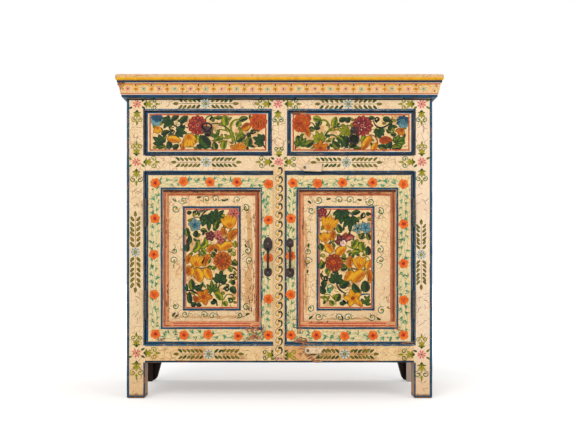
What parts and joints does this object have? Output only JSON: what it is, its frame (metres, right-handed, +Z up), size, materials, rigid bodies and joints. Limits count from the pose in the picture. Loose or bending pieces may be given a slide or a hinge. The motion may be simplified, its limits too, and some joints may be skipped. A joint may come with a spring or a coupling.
{
  "type": "desktop cabinet with doors",
  "caption": "Painted wooden cabinet on legs: framed doors with raised panels, a cover strip and turn-buttons, under side-by-side drawers with ring pulls and a moulded top.",
  "frame": {"origin": "on the floor, under the middle of the whole object's box, raised ring pull included", "axes": "+Z up, the doors and drawers face -Y, +X to the right seen from the front"},
  "size_m": [0.897, 0.4176, 0.889],
  "materials": {
    "cream_paint": "aged matt paint",
    "blue_paint": "worn matt paint",
    "red_paint": "worn matt paint",
    "bare_wood": "unfinished",
    "black_iron": "blackened",
    "steel_screws": "dull"
  },
  "bodies": {
    "carcase": {"back_boards": "bare_wood", "bottom_front_rail": "cream_paint", "cornice_beads": "blue_paint", "cornice_fillets": "blue_paint", "cupboard_floor": "bare_wood", "door_head_stop": "bare_wood", "drawer_divider": "cream_paint", "drawer_guides": "bare_wood", "drawer_kickers": "bare_wood", "drawer_runners": "bare_wood", "dust_board": "bare_wood", "frame_hinge_leaves": "black_iron", "frame_screws": "steel_screws", "front_frieze": "cream_paint", "front_left_post": "cream_paint", "front_right_post": "cream_paint", "hinge_pins": "black_iron", "middle_front_rail": "cream_paint", "rear_left_post": "cream_paint", "rear_leg_brackets": "bare_wood", "rear_rails": "bare_wood", "rear_right_post": "cream_paint", "shelf": "bare_wood", "shelf_cleats": "bare_wood", "side_friezes": "cream_paint", "side_panels": "cream_paint", "side_rails": "cream_paint", "top_board": "cream_paint", "top_front_rail": "cream_paint"},
    "left_door": {"left_door_fasteners": "steel_screws", "left_door_hinge_leaves": "black_iron", "left_door_hinge_stile": "cream_paint", "left_door_meeting_stile": "cream_paint", "left_door_moulding": "red_paint", "left_door_panel": "cream_paint", "left_door_pull": "black_iron", "left_door_rails": "cream_paint"},
    "right_door": {"right_door_astragal": "cream_paint", "right_door_fasteners": "steel_screws", "right_door_hinge_leaves": "black_iron", "right_door_hinge_stile": "cream_paint", "right_door_meeting_stile": "cream_paint", "right_door_moulding": "red_paint", "right_door_panel": "cream_paint", "right_door_pull": "black_iron", "right_door_rails": "cream_paint"},
    "left_drawer": {"left_drawer_back": "bare_wood", "left_drawer_bottom": "bare_wood", "left_drawer_front": "cream_paint", "left_drawer_sides": "bare_wood", "left_ring_bracket": "black_iron"},
    "right_drawer": {"right_drawer_back": "bare_wood", "right_drawer_bottom": "bare_wood", "right_drawer_front": "cream_paint", "right_drawer_sides": "bare_wood", "right_ring_bracket": "black_iron"},
    "left_ring": {"left_ring": "black_iron"},
    "right_ring": {"right_ring": "black_iron"},
    "top_turn_button": {"top_turn_button": "cream_paint"},
    "bottom_turn_button": {"bottom_turn_button": "cream_paint"}
  },
  "joints": [
    {"name": "right_door_hinge", "type": "hinge", "parent": "carcase", "child": "right_door", "pos_m": [0.3689, -0.17484, 0.3845], "axis": [0, 0, 1], "range_deg": [0, 165]},
    {"name": "left_door_hinge", "type": "hinge", "parent": "carcase", "child": "left_door", "pos_m": [-0.3689, -0.17484, 0.3845], "axis": [0, 0, -1], "range_deg": [0, 165]},
    {"name": "left_drawer_slide", "type": "slide", "parent": "carcase", "child": "left_drawer", "axis": [0, -1, 0], "range_m": [0, 0.26]},
    {"name": "right_drawer_slide", "type": "slide", "parent": "carcase", "child": "right_drawer", "axis": [0, -1, 0], "range_m": [0, 0.26]},
    {"name": "left_ring_swing", "type": "hinge", "parent": "left_drawer", "child": "left_ring", "pos_m": [-0.198, -0.17224, 0.731], "axis": [-1, 0, 0], "range_deg": [-128, 28]},
    {"name": "right_ring_swing", "type": "hinge", "parent": "right_drawer", "child": "right_ring", "pos_m": [0.205, -0.17224, 0.74], "axis": [-1, 0, 0], "range_deg": [-6, 150]},
    {"name": "top_button_turn", "type": "hinge", "parent": "carcase", "child": "top_turn_button", "pos_m": [0.069, -0.17504, 0.6353], "axis": [0, 1, 0], "range_deg": [-20, 130]},
    {"name": "bottom_button_turn", "type": "hinge", "parent": "carcase", "child": "bottom_turn_button", "pos_m": [0.0777, -0.17504, 0.1328], "axis": [0, -1, 0], "range_deg": [-20, 130]}
  ],
  "couplings": [
    {"joint": "left_door_hinge", "follows": "right_door_hinge", "ratio": 1}
  ]
}
